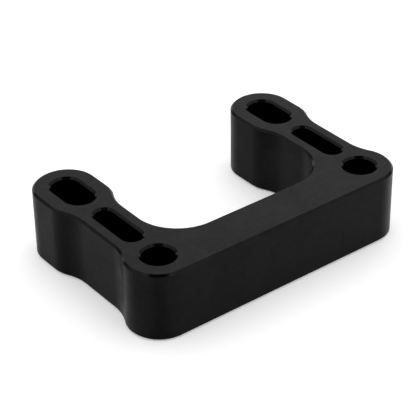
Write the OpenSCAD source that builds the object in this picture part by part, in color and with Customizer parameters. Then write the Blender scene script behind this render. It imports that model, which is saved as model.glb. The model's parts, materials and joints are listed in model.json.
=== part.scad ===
// Stem riser: one machined block that lifts a bolted-on stem above a fork crown.
// The front is at -Y. The origin lies on the bottom face, midway between the two front holes.

/* [Mounting holes] */
// Distance between the left and right mounting holes
hole_span = 57.15; // [50:0.05:70]
// Distance from the front holes back to the middle of the rear slots
row_span = 32.3; // [28:0.1:45]
// Diameter of the round front holes
front_hole_d = 7.5; // [5:0.1:9]
// Width of the rear slots
rear_slot_w = 7; // [5:0.1:8.5]
// How far a bolt can move along a rear slot
rear_slot_travel = 5.4; // [1:0.1:8]

/* [Body] */
// Height between the bottom and top faces
body_h = 17; // [8:0.5:40]
// Diameter of the rounded corners round the front holes
front_boss_d = 15.4; // [13:0.1:18]
// Width of the rounded ends round the rear slots
rear_boss_w = 15.3; // [12.6:0.1:18]
// Width of the legs between the front corners and the rear ends
leg_w = 10.8; // [9:0.1:12]
// Depth of the crossbar from its front face to its inner edge
crossbar_w = 11.2; // [10:0.1:15]

/* [Lightening slots] */
// Width of the narrow slot in each leg
light_slot_w = 4.7; // [2:0.1:6]
// Metal left between a narrow slot and the round hole in front of it
front_web = 3.45; // [2:0.05:5]
// Metal left between a narrow slot and the bolt slot behind it
rear_web = 3.85; // [2:0.05:5]

/* [Blends and chamfers] */
// Radius of the outer blend from a front corner into its leg
front_blend_r = 12; // [4:0.5:14]
// Radius of the outer blend from a leg into its rear end
rear_blend_r = 12; // [4:0.5:14]
// Radius of the inner blend from a leg into its rear end
inner_blend_r = 11; // [4:0.5:12]
// Radius of the inner corners between the legs and the crossbar
inner_corner_r = 10.6; // [4:0.1:12]
// Width of the chamfer round the top and bottom edges
edge_chamfer = 0.5; // [0.2:0.05:1.2]
// Width of the chamfer round the rim of each hole and slot
hole_chamfer = 0.5; // [0.2:0.05:1.2]

/* [Hidden] */
$fn = 180;

leg_x = hole_span / 2;
leg_half_w = leg_w / 2;
front_r = front_boss_d / 2;
rear_r = rear_boss_w / 2;
rear_front_y = row_span - rear_slot_travel / 2;
rear_end_y = row_span + rear_slot_travel / 2;
crossbar_inner_y = crossbar_w - front_r;
light_start_y = front_hole_d / 2 + front_web;
light_end_y = rear_front_y - rear_slot_w / 2 - rear_web;
// How far a cutter runs past a face, and how far a blend bites into its rounded end so that no sliver is left
cut_past = 1;
blend_bite = 0.002;

// Distance along a leg from the centre of a rounded end to the centre of the blend beside it
function blend_run(end_r, blend_r) = sqrt(pow(end_r + blend_r - blend_bite, 2) - pow(leg_half_w + blend_r, 2));

// Half section of a round post with both rims chamfered
function post_section(r, c) = [[0, 0], [r - c, 0], [r, c], [r, body_h - c], [r - c, body_h], [0, body_h]];

// Section of a straight bar with its four long edges chamfered, from x0 to x1
function bar_section(x0, x1, c) = [
    [x0, c], [x0 + c, 0], [x1 - c, 0], [x1, c],
    [x1, body_h - c], [x1 - c, body_h], [x0 + c, body_h], [x0, body_h - c]
];

// Half section of a round cutter that flares by c at both faces, and runs past them
function cutter_section(r, c) = [
    [0, -cut_past], [r + c + cut_past, -cut_past], [r, c],
    [r, body_h - c], [r + c + cut_past, body_h + cut_past], [0, body_h + cut_past]
];

// The same cutter section mirrored into a full one, for the straight run of a slot
function slot_section(r, c) = [
    [-r - c - cut_past, -cut_past], [r + c + cut_past, -cut_past], [r, c], [r, body_h - c],
    [r + c + cut_past, body_h + cut_past], [-r - c - cut_past, body_h + cut_past], [-r, body_h - c], [-r, c]
];

module post(r) {
    rotate_extrude() polygon(post_section(r, edge_chamfer));
}

module bar_along_y(x0, x1, y0, y1) {
    translate([0, y1, 0]) rotate([90, 0, 0]) linear_extrude(y1 - y0) polygon(bar_section(x0, x1, edge_chamfer));
}

module bar_along_x(y0, y1, x0, x1) {
    translate([x0, 0, 0]) rotate([90, 0, 90]) linear_extrude(x1 - x0) polygon(bar_section(y0, y1, edge_chamfer));
}

module hole_cutter(d, travel) {
    for (y = travel > 0 ? [-travel / 2, travel / 2] : [0])
        translate([0, y, 0]) rotate_extrude() polygon(cutter_section(d / 2, hole_chamfer));
    if (travel > 0)
        translate([0, travel / 2, 0]) rotate([90, 0, 0]) linear_extrude(travel) polygon(slot_section(d / 2, hole_chamfer));
}

// Fills the hollow beside a rounded end up to a concave blend. side is 1 outwards and -1 inwards, way is 1 towards +Y
module end_blend(end_r, blend_r, side, way) {
    blend_c = [side * (leg_half_w + blend_r), way * blend_run(end_r, blend_r)];
    difference() {
        linear_extrude(body_h) polygon([[0, 0], blend_c, [0, blend_c[1]]]);
        translate([blend_c[0], blend_c[1], 0]) rotate_extrude() polygon(cutter_section(blend_r, edge_chamfer));
    }
}

// Fills the inner corner between a leg and the crossbar up to its concave radius
module inner_corner() {
    corner_c = [leg_x - leg_half_w - inner_corner_r, crossbar_inner_y + inner_corner_r];
    difference() {
        translate([corner_c[0], 0, 0]) cube([leg_x - corner_c[0], corner_c[1], body_h]);
        translate([corner_c[0], corner_c[1], 0])
            rotate_extrude() polygon(cutter_section(inner_corner_r, edge_chamfer));
    }
}

module right_leg() {
    translate([leg_x, 0, 0]) {
        post(front_r);
        end_blend(front_r, front_blend_r, 1, 1);
        bar_along_y(-leg_half_w, leg_half_w, 0, rear_front_y);
        translate([0, rear_front_y, 0]) {
            post(rear_r);
            end_blend(rear_r, rear_blend_r, 1, -1);
            end_blend(rear_r, inner_blend_r, -1, -1);
        }
        bar_along_y(-rear_r, rear_r, rear_front_y, rear_end_y);
        translate([0, rear_end_y, 0]) post(rear_r);
    }
    inner_corner();
}

module leg_holes() {
    translate([leg_x, 0, 0]) hole_cutter(front_hole_d, 0);
    translate([leg_x, (light_start_y + light_end_y) / 2, 0])
        hole_cutter(light_slot_w, light_end_y - light_start_y - light_slot_w);
    translate([leg_x, row_span, 0]) hole_cutter(rear_slot_w, rear_slot_travel);
}

module riser() {
    color([0.16, 0.16, 0.17])
    difference() {
        union() {
            bar_along_x(-front_r, crossbar_inner_y, -leg_x, leg_x);
            right_leg();
            mirror([1, 0, 0]) right_leg();
        }
        leg_holes();
        mirror([1, 0, 0]) leg_holes();
    }
}

riser();
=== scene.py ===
import json
import math

import bmesh
import bpy
from mathutils import Matrix, Vector


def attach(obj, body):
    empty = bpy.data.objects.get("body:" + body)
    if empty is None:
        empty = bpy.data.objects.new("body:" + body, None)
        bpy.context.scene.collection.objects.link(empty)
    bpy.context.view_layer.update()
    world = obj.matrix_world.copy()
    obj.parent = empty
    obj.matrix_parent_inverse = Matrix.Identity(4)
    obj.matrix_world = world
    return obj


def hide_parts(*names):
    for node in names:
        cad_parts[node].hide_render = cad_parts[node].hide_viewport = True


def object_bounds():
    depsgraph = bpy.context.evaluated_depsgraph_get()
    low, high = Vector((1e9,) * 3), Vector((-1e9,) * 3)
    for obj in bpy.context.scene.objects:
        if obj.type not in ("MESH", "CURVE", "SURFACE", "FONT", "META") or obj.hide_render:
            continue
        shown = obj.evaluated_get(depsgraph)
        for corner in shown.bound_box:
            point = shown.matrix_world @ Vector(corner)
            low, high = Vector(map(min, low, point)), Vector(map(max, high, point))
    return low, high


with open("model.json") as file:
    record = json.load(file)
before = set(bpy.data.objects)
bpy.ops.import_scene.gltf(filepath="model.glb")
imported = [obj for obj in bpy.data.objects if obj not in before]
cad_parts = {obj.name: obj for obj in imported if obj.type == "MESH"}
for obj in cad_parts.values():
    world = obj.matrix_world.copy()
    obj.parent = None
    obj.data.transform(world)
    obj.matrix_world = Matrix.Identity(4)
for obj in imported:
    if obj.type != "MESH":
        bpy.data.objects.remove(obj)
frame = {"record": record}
cadLow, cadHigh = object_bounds()
mm = 0.001

# places and sizes in mm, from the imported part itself
mounts = {mount["name"]: mount for mount in frame["record"]["mounts"]}
legX = mounts["front_bolts"]["dims"]["spacing_x_mm"] / 2
boltRadius = mounts["front_bolts"]["dims"]["hole_r_mm"]
slotY = mounts["rear_slots"]["pos_m"][1] / mm
blockHeight = (cadHigh.z - cadLow.z) / mm


def linearColour(hexText):
    def channel(pair):
        c = int(pair, 16) / 255
        return c / 12.92 if c <= 0.04045 else ((c + 0.055) / 1.055) ** 2.4
    return (*(channel(hexText[i:i + 2]) for i in (0, 2, 4)), 1.0)


def addNode(tree, kind, links=None, **settings):
    node = tree.nodes.new(kind)
    for name, value in settings.items():
        if name.startswith("in_"):
            key = name[3:].replace("_", " ")
            node.inputs[int(key) if key.isdigit() else key].default_value = value
        else:
            setattr(node, name, value)
    for name, socket in (links or {}).items():
        tree.links.new(socket, node.inputs[name])
    return node


def newMaterial(name):
    material = bpy.data.materials.new(name)
    material.use_nodes = True
    material.node_tree.nodes.clear()
    return material, material.node_tree


# Bead-blasted aluminium, black anodised: a dark clear oxide over a fine matt texture. The face stays nearly
# black and a little cloudy, the gloss is broad and grey, and it brightens only at grazing angles.
anodise = {
    "thickOxide": "191919",
    "thinOxide": "202020",
    "edgeTint": "f0f0f0",  # the oxide takes up a little of the gloss at grazing angles
    "roughness": 0.34,
    "roughnessSpread": 0.06,
    "chamferRoughness": 0.16,  # cut after blasting, so smoother
    "chamferRise": 0.7,  # upward part of a chamfer's normal, which is 0 on a wall and 1 on a face
    "chamferRiseSpread": 0.2,
    "grainSize": 0.45 * mm,  # blast dimples are nearer 0.1 mm, drawn coarser so that they show
    "grainDepth": 0.023 * mm,
    "grainDetail": 3.0,
    "blotchSize": 0.9 * mm,
    "blotchDetail": 1.0,
    "cloudSize": 5 * mm,
    "cloudDetail": 3.0,
    "cloudDistortion": 0.6,
    "cloudShare": 0.55,
    "noiseLow": 0.3,  # the noise seldom leaves this range, which is stretched to the full one
    "noiseHigh": 0.7,
}


def blastedBlackAnodise():
    material, tree = newMaterial("blastedBlackAnodise")
    coordinates = addNode(tree, "ShaderNodeTexCoord").outputs
    place = coordinates["Object"]
    grain = addNode(
        tree, "ShaderNodeTexNoise", {"Vector": place}, in_Scale=1 / anodise["grainSize"],
        in_Detail=anodise["grainDetail"])
    blotch = addNode(
        tree, "ShaderNodeTexNoise", {"Vector": place}, in_Scale=1 / anodise["blotchSize"],
        in_Detail=anodise["blotchDetail"])
    cloud = addNode(
        tree, "ShaderNodeTexNoise", {"Vector": place}, in_Scale=1 / anodise["cloudSize"],
        in_Detail=anodise["cloudDetail"], in_Distortion=anodise["cloudDistortion"])
    patchy = addNode(
        tree, "ShaderNodeMix", {2: blotch.outputs["Fac"], 3: cloud.outputs["Fac"]}, data_type="FLOAT",
        in_0=anodise["cloudShare"])
    even = addNode(
        tree, "ShaderNodeMapRange", {"Value": patchy.outputs[0]}, in_From_Min=anodise["noiseLow"],
        in_From_Max=anodise["noiseHigh"])
    oxide = addNode(
        tree, "ShaderNodeMix", {0: even.outputs["Result"]}, data_type="RGBA",
        in_6=linearColour(anodise["thickOxide"]), in_7=linearColour(anodise["thinOxide"]))
    rough = addNode(
        tree, "ShaderNodeMapRange", {"Value": even.outputs["Result"]},
        in_To_Min=anodise["roughness"] + anodise["roughnessSpread"],
        in_To_Max=anodise["roughness"] - anodise["roughnessSpread"])
    normal = addNode(tree, "ShaderNodeSeparateXYZ", {0: coordinates["Normal"]})
    rise = addNode(tree, "ShaderNodeMath", {0: normal.outputs["Z"]}, operation="ABSOLUTE")
    chamfer = addNode(
        tree, "ShaderNodeMath", {0: rise.outputs["Value"]}, operation="COMPARE", in_1=anodise["chamferRise"],
        in_2=anodise["chamferRiseSpread"])
    rough = addNode(
        tree, "ShaderNodeMix", {0: chamfer.outputs["Value"], 2: rough.outputs["Result"]}, data_type="FLOAT",
        in_3=anodise["chamferRoughness"])
    bump = addNode(
        tree, "ShaderNodeBump", {"Height": grain.outputs["Fac"]}, in_Distance=anodise["grainDepth"])
    shader = addNode(
        tree, "ShaderNodeBsdfPrincipled",
        {"Base Color": oxide.outputs[2], "Roughness": rough.outputs[0], "Normal": bump.outputs["Normal"]},
        in_Metallic=1.0, in_Specular_Tint=linearColour(anodise["edgeTint"]))
    addNode(tree, "ShaderNodeOutputMaterial", {"Surface": shader.outputs["BSDF"]})
    return material


# the block in mm, swept round its outline
block = {
    "slotRadius": 3.5,
    "slotTravel": 5.4,
    "legHalfWidth": 5.4,
    "crossbarDepth": 11.2,
    "lightSlotRadius": 2.35,
    "frontWeb": 3.45,
    "rearWeb": 3.85,
    "frontBlend": 12,
    "rearBlend": 12,
    "innerBlend": 11,
    "innerCorner": 10.6,
    "chamfer": 0.5,
    "rimBand": 0.2,  # even ring of faces that the flat caps start from
    "guard": 0.3,  # short first and last part of a straight run, which keeps the shading of the rest flat
    "stepAngle": math.radians(3),
    "sharpAngle": math.radians(15),  # edges sharper than this break the smooth shading
    "mergeDistance": 0.002,
    "faceTolerance": 0.01,  # an open rim this close to a face is part of it
}
frontRadius = -cadLow.y / mm
rearFront, rearEnd = slotY - block["slotTravel"] / 2, slotY + block["slotTravel"] / 2
rearRadius = cadHigh.y / mm - rearEnd


def standProfile(bm, x, y, outward):
    # from the bottom face over its chamfer, up the wall at x, over the upper chamfer and onto the top face
    chamfer = block["chamfer"]
    section = [(chamfer + block["rimBand"], 0), (chamfer, 0), (0, chamfer)]
    section += [(back, blockHeight - height) for back, height in reversed(section)]
    verts = [bm.verts.new((x - outward * back, y, height)) for back, height in section]
    return [bm.edges.new(pair) for pair in zip(verts, verts[1:])]


def lastEdges(swept):
    return [item for item in swept["geom_last"] if isinstance(item, bmesh.types.BMEdge)]


def turn(bm, edges, centre, angle):
    steps = math.ceil(abs(angle) / block["stepAngle"])
    return lastEdges(bmesh.ops.spin(
        bm, geom=edges, cent=(*centre, 0), axis=(0, 0, 1), angle=angle, steps=steps))


def run(bm, edges, x, y):
    way = Vector((x, y, 0)).normalized()
    guard = block["guard"]
    for length in (guard, math.hypot(x, y) - 2 * guard, guard):
        edges = lastEdges(bmesh.ops.spin(
            bm, geom=edges, axis=(0, 0, 1), angle=0, dvec=way * length, steps=1))
    return edges


def blendRise(endRadius, blendRadius):
    return math.sqrt((endRadius + blendRadius) ** 2 - (block["legHalfWidth"] + blendRadius) ** 2)


def sweepOutline(bm):
    half = block["legHalfWidth"]
    frontX, rearX = legX + half + block["frontBlend"], legX + half + block["rearBlend"]
    innerX, cornerX = legX - half - block["innerBlend"], legX - half - block["innerCorner"]
    frontY = blendRise(frontRadius, block["frontBlend"])
    rearY = rearFront - blendRise(rearRadius, block["rearBlend"])
    innerY = rearFront - blendRise(rearRadius, block["innerBlend"])
    cornerY = block["crossbarDepth"] - frontRadius + block["innerCorner"]
    frontSlope = math.atan2(frontY, frontX - legX)
    rearSlope = math.atan2(rearFront - rearY, rearX - legX)
    innerSlope = math.atan2(rearFront - innerY, legX - innerX)

    # from the side of the right front corner, back round the rear end to the middle of the crossbar
    start = standProfile(bm, legX + frontRadius, 0, 1)
    edges = turn(bm, start, (legX, 0), frontSlope)
    edges = turn(bm, edges, (frontX, frontY), -frontSlope)
    edges = run(bm, edges, 0, rearY - frontY)
    edges = turn(bm, edges, (rearX, rearY), -rearSlope)
    edges = turn(bm, edges, (legX, rearFront), rearSlope)
    edges = run(bm, edges, 0, rearEnd - rearFront)
    edges = turn(bm, edges, (legX, rearEnd), math.pi)
    edges = run(bm, edges, 0, rearFront - rearEnd)
    edges = turn(bm, edges, (legX, rearFront), innerSlope)
    edges = turn(bm, edges, (innerX, innerY), -innerSlope)
    edges = run(bm, edges, 0, cornerY - innerY)
    edges = turn(bm, edges, (cornerX, cornerY), -math.pi / 2)
    run(bm, edges, -cornerX, 0)
    # and the other way, round the front corner
    edges = turn(bm, start, (legX, 0), -math.pi / 2)
    run(bm, edges, -legX, 0)


def sweepHole(bm, y, radius, travel):
    start = standProfile(bm, legX + radius, y - travel / 2, -1)
    if travel == 0:
        bmesh.ops.spin(
            bm, geom=start, cent=(legX, y, 0), axis=(0, 0, 1), angle=2 * math.pi, use_merge=True,
            steps=round(2 * math.pi / block["stepAngle"]))
        return
    edges = run(bm, start, 0, travel)
    edges = turn(bm, edges, (legX, y + travel / 2), math.pi)
    edges = run(bm, edges, 0, -travel)
    turn(bm, edges, (legX, y - travel / 2), math.pi)


def makeBlock():
    bm = bmesh.new()
    sweepOutline(bm)
    lightStart = boltRadius + block["frontWeb"]
    lightEnd = rearFront - block["slotRadius"] - block["rearWeb"]
    sweepHole(bm, 0, boltRadius, 0)
    sweepHole(bm, (lightStart + lightEnd) / 2, block["lightSlotRadius"],
              lightEnd - lightStart - 2 * block["lightSlotRadius"])
    sweepHole(bm, slotY, block["slotRadius"], block["slotTravel"])
    bmesh.ops.mirror(bm, geom=bm.verts[:] + bm.edges[:] + bm.faces[:], axis="X", merge_dist=0)
    bmesh.ops.remove_doubles(bm, verts=bm.verts, dist=block["mergeDistance"])
    for height in (0, blockHeight):
        openEdges = [edge for edge in bm.edges if edge.is_boundary]
        rims = [edge for edge in openEdges if abs(edge.verts[0].co.z - height) < block["faceTolerance"]]
        bmesh.ops.triangle_fill(bm, edges=rims, use_beauty=True, normal=(0, 0, 1))
    bmesh.ops.recalc_face_normals(bm, faces=bm.faces)
    for face in bm.faces:
        face.smooth = True
    for edge in bm.edges:
        edge.smooth = edge.calc_face_angle(0) < block["sharpAngle"]
    print("block:", len(bm.faces), "faces,", sum(not edge.is_manifold for edge in bm.edges), "open edges")
    bmesh.ops.scale(bm, vec=(mm, mm, mm), verts=bm.verts)
    bmesh.ops.translate(bm, vec=(0, 0, cadLow.z), verts=bm.verts)
    mesh = bpy.data.meshes.new("riser_block")
    bm.to_mesh(mesh)
    bm.free()
    piece = bpy.data.objects.new("riser_block", mesh)
    bpy.context.scene.collection.objects.link(piece)
    piece.data.materials.append(blastedBlackAnodise())
    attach(piece, "root")
    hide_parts("riser")


def direction(azimuth, elevation=0):
    # azimuth 0 is the front and 90 the right, in degrees
    turned, raised = math.radians(azimuth), math.radians(elevation)
    flat = math.cos(raised)
    return Vector((math.sin(turned) * flat, -math.cos(turned) * flat, math.sin(raised)))


# where the photograph was taken from
view = {
    "azimuth": -37.48,
    "elevation": 32.88,
    "roll": -0.855,
    "target": (-9.4 * mm, 7.6 * mm, blockHeight * mm),
    "distance": 345.4 * mm,
    "focalPixels": 1573.7,
    "framePixels": 416,
    "sensor": 36.0,
}


def makeCamera():
    back = direction(view["azimuth"], view["elevation"])
    right = Vector((0, 0, 1)).cross(back).normalized()
    up = back.cross(right)
    turnBack = Matrix.Rotation(math.radians(view["roll"]), 3, back)
    axes = Matrix((turnBack @ right, turnBack @ up, back)).transposed().to_4x4()
    data = bpy.data.cameras.new("camera")
    data.sensor_width = view["sensor"]
    data.lens = view["focalPixels"] * view["sensor"] / view["framePixels"]
    camera = bpy.data.objects.new("camera", data)
    camera.matrix_world = Matrix.Translation(Vector(view["target"]) + back * view["distance"]) @ axes
    bpy.context.scene.collection.objects.link(camera)
    bpy.context.scene.camera = camera


# A pale painted table. Its glow, which only the camera and mirror rays see, keeps the background white.
# Mirror rays see painted shade on it, darkest to the rear left and in a wedge in front of the left corner,
# which the walls mirror so that they keep their shape.
table = {
    "colour": "f8f8f8",
    "size": 4.0,
    "gap": 0.01 * mm,
    "glow": 0.3,
    "share": 0.76,  # of its paint and glow, what mirror rays see to the front right, where its painted shade is lightest
    "shareRearLeft": 0.56,
    # painted shade in mirror rays: the table fades from the front right to the rear left along this azimuth,
    # between these distances
    "fadeAzimuth": 37,
    "fadeFrom": 2 * mm,
    "fadeTo": -42 * mm,
    # a wedge of painted shade darkens the table in front of the left corner in mirror rays, with lighter
    # flanks
    "wedgeAzimuth": -36,
    "wedgeInside": 10,  # all wedge angles are in degrees from its middle, and its painted shade is darkest up to this one
    "wedgeEdge": 24,  # where it ends
    "wedgeDim": 0.3,
    "flankShare": 0.75,
    "flankInside": 44,  # the table on both sides of the wedge has the flank level of painted shade up to here
    "flankOutside": 70,  # and none of it from here
}


def makeFloor():
    bm = bmesh.new()
    bmesh.ops.create_grid(bm, x_segments=1, y_segments=1, size=table["size"] / 2)
    mesh = bpy.data.meshes.new("floor")
    bm.to_mesh(mesh)
    bm.free()
    floor = bpy.data.objects.new("floor", mesh)
    bpy.context.scene.collection.objects.link(floor)
    floor.location.z = cadLow.z - table["gap"]
    floor.data.materials.append(paleTable())


def paleTable():
    material, tree = newMaterial("paleTable")
    place = addNode(tree, "ShaderNodeTexCoord").outputs["Object"]
    # painted shade that only mirror rays see: darker to the rear left, darker still in the wedge
    frontRight = addNode(
        tree, "ShaderNodeVectorMath", {0: place}, operation="DOT_PRODUCT",
        in_1=direction(table["fadeAzimuth"]))
    share = addNode(
        tree, "ShaderNodeMapRange", {"Value": frontRight.outputs["Value"]}, interpolation_type="SMOOTHSTEP",
        in_From_Min=table["fadeTo"], in_From_Max=table["fadeFrom"], in_To_Min=table["shareRearLeft"],
        in_To_Max=table["share"])
    # the wedge of painted shade spreads from the foot of the left front hole
    fromHole = addNode(
        tree, "ShaderNodeVectorMath", {0: place}, operation="SUBTRACT", in_1=(-legX * mm, 0, cadLow.z))
    fromHole = addNode(tree, "ShaderNodeVectorMath", {0: fromHole.outputs["Vector"]}, operation="NORMALIZE")
    ahead = addNode(
        tree, "ShaderNodeVectorMath", {0: fromHole.outputs["Vector"]}, operation="DOT_PRODUCT",
        in_1=direction(table["wedgeAzimuth"])).outputs["Value"]
    share = addNode(
        tree, "ShaderNodeMapRange", {"Value": ahead, "To Min": share.outputs["Result"]},
        interpolation_type="SMOOTHSTEP", in_From_Min=math.cos(math.radians(table["flankOutside"])),
        in_From_Max=math.cos(math.radians(table["flankInside"])), in_To_Max=table["flankShare"])
    wedge = addNode(
        tree, "ShaderNodeMapRange", {"Value": ahead}, interpolation_type="SMOOTHSTEP",
        in_From_Min=math.cos(math.radians(table["wedgeEdge"])),
        in_From_Max=math.cos(math.radians(table["wedgeInside"])),
        in_To_Min=1.0, in_To_Max=1 - table["wedgeDim"])
    share = addNode(
        tree, "ShaderNodeMath", {0: share.outputs["Result"], 1: wedge.outputs["Result"]},
        operation="MULTIPLY")
    # camera and diffuse rays see no painted shade, glossy and transmission rays see all of it
    ray = addNode(tree, "ShaderNodeLightPath").outputs
    mirrored = addNode(
        tree, "ShaderNodeMath", {0: ray["Is Glossy Ray"], 1: ray["Is Transmission Ray"]},
        operation="MAXIMUM")
    share = addNode(
        tree, "ShaderNodeMix", {0: mirrored.outputs["Value"], 3: share.outputs["Value"]}, data_type="FLOAT",
        in_2=1.0)
    # the table's colour with its painted shade, which also dims its glow in mirror rays
    shadedTone = addNode(
        tree, "ShaderNodeVectorMath", {"Scale": share.outputs[0]}, operation="SCALE",
        in_0=linearColour(table["colour"])[:3])
    shadedPaint = addNode(tree, "ShaderNodeBsdfDiffuse", {"Color": shadedTone.outputs["Vector"]})
    seen = addNode(
        tree, "ShaderNodeMath", {0: mirrored.outputs["Value"], 1: ray["Is Camera Ray"]},
        operation="MAXIMUM")
    seen = addNode(
        tree, "ShaderNodeMath", {0: seen.outputs["Value"], 1: share.outputs[0]}, operation="MULTIPLY")
    strength = addNode(
        tree, "ShaderNodeMath", {0: seen.outputs["Value"]}, operation="MULTIPLY", in_1=table["glow"])
    glow = addNode(tree, "ShaderNodeEmission", {"Strength": strength.outputs["Value"]})
    both = addNode(tree, "ShaderNodeAddShader", {0: shadedPaint.outputs["BSDF"], 1: glow.outputs["Emission"]})
    addNode(tree, "ShaderNodeOutputMaterial", {"Surface": both.outputs["Shader"]})
    return material


# A white tent that lights everything. It is bright at the horizon and dim in a band above it, and above the
# camera it has a dark round opening with a bright rim, so that the chamfers keep their shape.
tent = {
    "colour": "ffffff",
    "strength": 1.12,
    "spread": 0.396,  # share by which it is brighter at brightAzimuth and darker on the other side
    "brightAzimuth": 135,
    "horizonBoost": 4.3,  # how much brighter the horizon is than the dim band
    "bandDim": 0.85,
    "bandLow": 0.14,  # sines of the elevations at which the dim band begins, is dimmest and ends
    "bandMiddle": 0.25,
    "bandHigh": 0.53,
    "openingElevation": 54,
    "openingRadius": 24,  # in degrees, as are the next one and rimRadius
    "openingSoftness": 4,
    "openingDim": 0.93,
    "rimRadius": 40,
    "rimBoost": 0.8,
}


def makeTent():
    world = bpy.data.worlds.new("whiteTent")
    world.use_nodes = True
    bpy.context.scene.world = world
    tree = world.node_tree
    tree.nodes.clear()
    toTent = addNode(tree, "ShaderNodeTexCoord").outputs["Generated"]
    brightSide = direction(tent["brightAzimuth"])
    opening = direction(view["azimuth"], tent["openingElevation"])
    up, toBrightSide, toOpening = (
        addNode(
            tree, "ShaderNodeVectorMath", {0: toTent}, operation="DOT_PRODUCT", in_1=axis).outputs["Value"]
        for axis in ((0, 0, 1), brightSide, opening))
    radius, softness = tent["openingRadius"], tent["openingSoftness"]
    outside, edge, inside = (
        math.cos(math.radians(angle)) for angle in (tent["rimRadius"], radius + softness, radius - softness))
    level = addNode(
        tree, "ShaderNodeMath", {0: toBrightSide}, operation="MULTIPLY_ADD",
        in_1=tent["strength"] * tent["spread"], in_2=tent["strength"]).outputs["Value"]
    for value, fromMin, fromMax, toMin, toMax in (
            (up, tent["bandMiddle"], tent["bandHigh"], 1 - tent["bandDim"], 1),
            (up, tent["bandLow"], tent["bandMiddle"], 1 + tent["horizonBoost"], 1),
            (toOpening, outside, edge, 1, 1 + tent["rimBoost"]),
            (toOpening, edge, inside, 1, 1 - tent["openingDim"])):
        part = addNode(
            tree, "ShaderNodeMapRange", {"Value": value}, interpolation_type="SMOOTHSTEP",
            in_From_Min=fromMin, in_From_Max=fromMax, in_To_Min=toMin, in_To_Max=toMax)
        level = addNode(
            tree, "ShaderNodeMath", {0: level, 1: part.outputs["Result"]},
            operation="MULTIPLY").outputs["Value"]
    glow = addNode(
        tree, "ShaderNodeBackground", {"Strength": level}, in_Color=linearColour(tent["colour"]))
    addNode(tree, "ShaderNodeOutputWorld", {"Surface": glow.outputs["Background"]})


makeBlock()
makeFloor()
makeTent()
makeCamera()
bpy.context.scene.view_settings.view_transform = "Standard"
print("studio: table, tent and camera placed")
